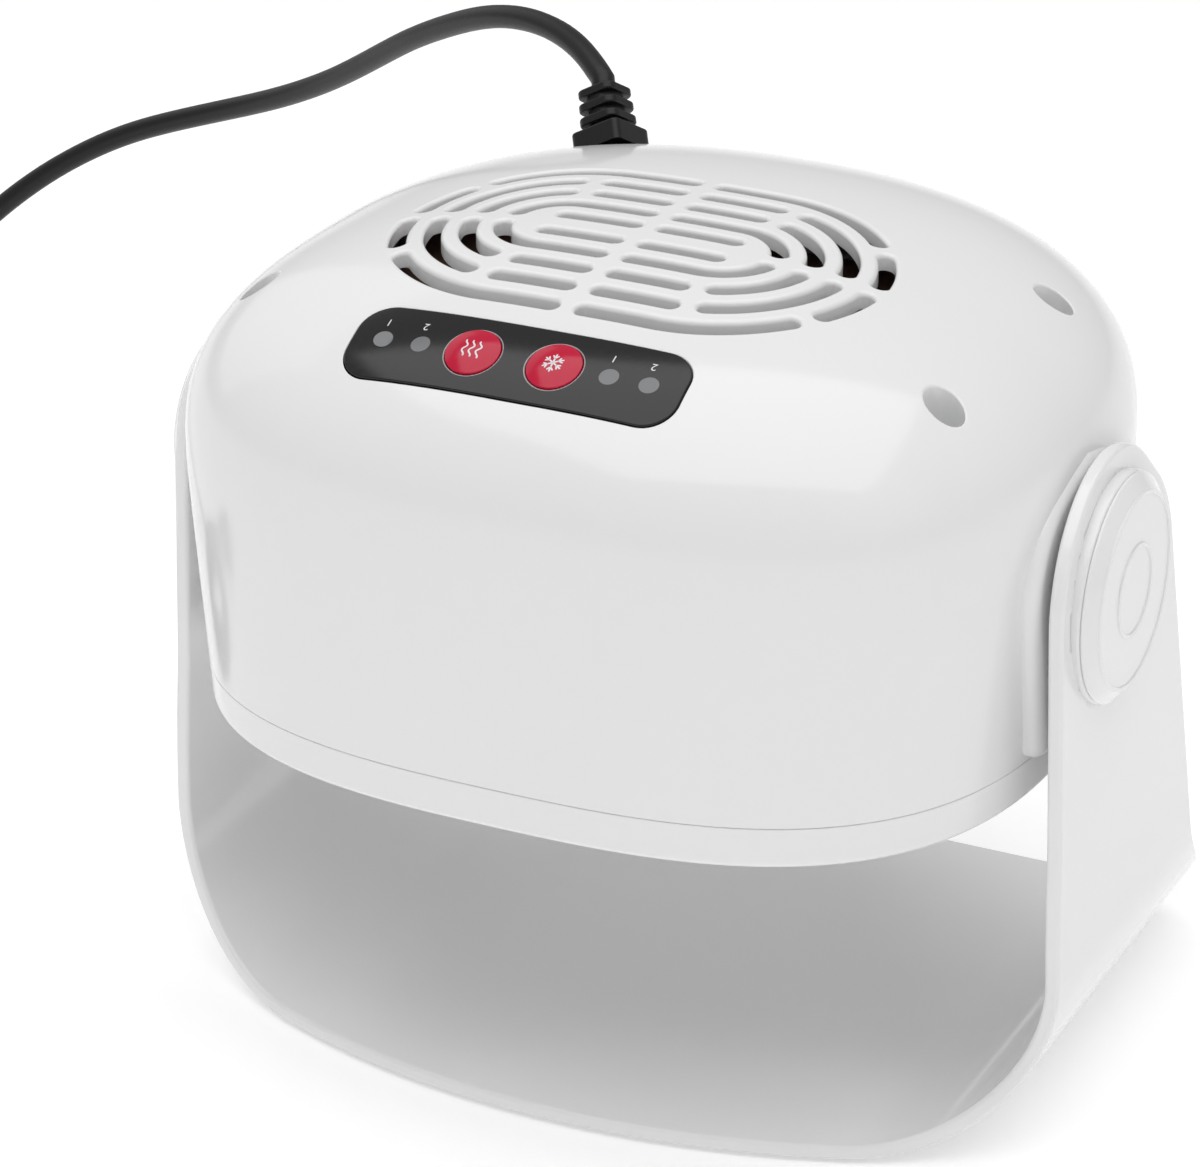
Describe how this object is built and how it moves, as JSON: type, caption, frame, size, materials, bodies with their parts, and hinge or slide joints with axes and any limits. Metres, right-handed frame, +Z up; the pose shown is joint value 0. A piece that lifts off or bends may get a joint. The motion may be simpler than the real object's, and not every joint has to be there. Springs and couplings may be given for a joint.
{
  "type": "nail polish fan dryer",
  "caption": "Domed white fan head with a ring of air slots and a push-button panel, tilting between the arms of a U-shaped cradle.",
  "frame": {"origin": "under the middle of the dryer on the table, measured without the mains lead", "axes": "+Z up, the user and the control panel in front at -Y, the tilt axis along X"},
  "size_m": [0.488, 0.2826, 0.2235],
  "materials": {
    "white_gloss": "injection-moulded white plastic, polished",
    "foot_rubber": "moulded rubber",
    "hub_nylon": "natural nylon, matte",
    "steel": "zinc-plated steel",
    "friction_fibre": "pressed fibre",
    "phenolic_board": "brown phenolic laminate",
    "duct_aluminium": "rolled sheet",
    "mica_board": "mica board",
    "heating_wire": "wound resistance wire",
    "ceramic": "ivory ceramic",
    "fan_black": "black moulded plastic",
    "switch_black": "black moulded plastic",
    "lamp_grey": "clear to grey lens",
    "panel_black": "polished black",
    "button_red": "satin red",
    "cord_black": "black flexible PVC",
    "tie_black": "hook-and-loop band",
    "harness_grey": "insulated wires in a sleeve",
    "plug_brass": "plated brass"
  },
  "bodies": {
    "base": {"base_cradle": "white_gloss", "rubber_feet": "foot_rubber", "pivot_cap_left": "white_gloss", "pivot_cap_right": "white_gloss", "cord_coil": "cord_black", "cord_tie": "tie_black", "plug_body": "cord_black", "plug_pins": "plug_brass"},
    "head": {"pivot_hubs": "hub_nylon", "pivot_washers": "steel", "pivot_screws": "steel", "friction_washers": "friction_fibre", "top_housing": "white_gloss", "bottom_cover": "white_gloss", "outlet_grille": "white_gloss", "housing_screws": "steel", "fan_deck": "phenolic_board", "air_duct": "duct_aluminium", "heater_frame": "mica_board", "heater_coil": "heating_wire", "thermal_cutoff": "ceramic", "fan_frame": "fan_black", "fan_screws": "steel", "control_board": "phenolic_board", "tact_switches": "switch_black", "status_leds": "lamp_grey", "board_screws": "steel", "control_panel": "panel_black", "cord_gland": "cord_black", "gland_nut": "cord_black", "inner_lead": "cord_black", "terminal_block": "ceramic", "harness": "harness_grey", "deck_screws": "steel", "cord_lead": "cord_black"},
    "impeller": {"fan_impeller": "fan_black"},
    "hot_button": {"button_hot": "button_red"},
    "cool_button": {"button_cool": "button_red"}
  },
  "joints": [
    {"name": "head_tilt", "type": "hinge", "parent": "base", "child": "head", "pos_m": [0, -0.0095, 0.139], "axis": [1, 0, 0], "range_deg": [-30, 30], "deforming": ["cord_lead"]},
    {"name": "fan_spin", "type": "hinge", "parent": "head", "child": "impeller", "pos_m": [0, -0.0205, 0.18], "axis": [0, 0, 1], "continuous": true},
    {"name": "hot_press", "type": "slide", "parent": "head", "child": "hot_button", "axis": [0, 0.4695, -0.8829], "range_m": [0, 0.0008], "stiffness_N_per_m": 900, "springref_m": -0.0004},
    {"name": "cool_press", "type": "slide", "parent": "head", "child": "cool_button", "axis": [0, 0.4695, -0.8829], "range_m": [0, 0.0008], "stiffness_N_per_m": 900, "springref_m": -0.0004}
  ]
}
